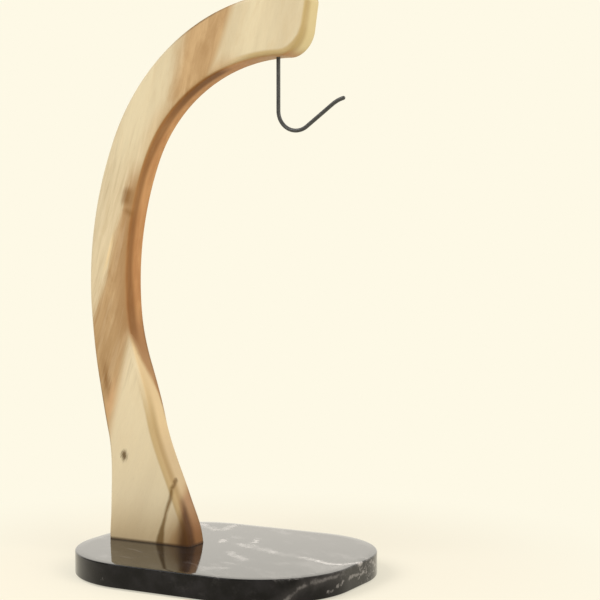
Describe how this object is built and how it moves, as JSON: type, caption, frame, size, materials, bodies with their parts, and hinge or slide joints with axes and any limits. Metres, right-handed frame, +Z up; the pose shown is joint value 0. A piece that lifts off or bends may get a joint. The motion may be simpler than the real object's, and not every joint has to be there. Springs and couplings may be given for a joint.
{
  "type": "banana hanger",
  "caption": "Free-standing fruit hanger: a curved wooden arm rises from a polished stone slab and carries a bent wire hook under its tip.",
  "frame": {"origin": "on the surface that the hanger stands on, at the middle of its whole width and depth", "axes": "+X from the arm's foot towards its tip, +Y away from the front, +Z up"},
  "size_m": [0.1846, 0.14, 0.3478],
  "materials": {
    "marble": "polished",
    "wood": "satin",
    "wire": "satin",
    "zinc": "zinc plated",
    "pad": "matt"
  },
  "bodies": {
    "root": {"base": "marble", "arm": "wood", "hook": "wire", "screws": "zinc", "washers": "zinc", "pad_1": "pad", "pad_2": "pad", "pad_3": "pad", "pad_4": "pad"}
  },
  "joints": []
}
